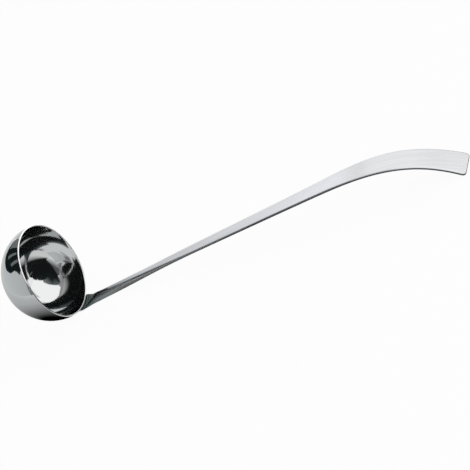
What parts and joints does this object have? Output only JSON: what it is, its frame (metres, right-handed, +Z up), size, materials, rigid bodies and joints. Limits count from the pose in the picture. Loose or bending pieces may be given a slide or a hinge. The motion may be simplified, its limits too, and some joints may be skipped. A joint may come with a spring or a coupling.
{
  "type": "ladle",
  "caption": "Steel ladle with a plain hemispherical bowl and a long handle that widens from a thick neck and bends over at its tip, for serving soup and sauce.",
  "frame": {"origin": "middle of the ladle's box, on the surface the ladle lies on", "axes": "+Z up from that surface, +X along the ladle from the bowl to the tip of the hook, +Y across it"},
  "size_m": [0.3542, 0.07, 0.0716],
  "materials": {
    "polished_steel": "mirror polished",
    "satin_steel": "satin, brushed lengthwise",
    "weld_steel": "dressed weld, satin"
  },
  "bodies": {
    "root": {"bowl": "polished_steel", "handle": "satin_steel", "weld_fillet": "weld_steel"}
  },
  "joints": []
}
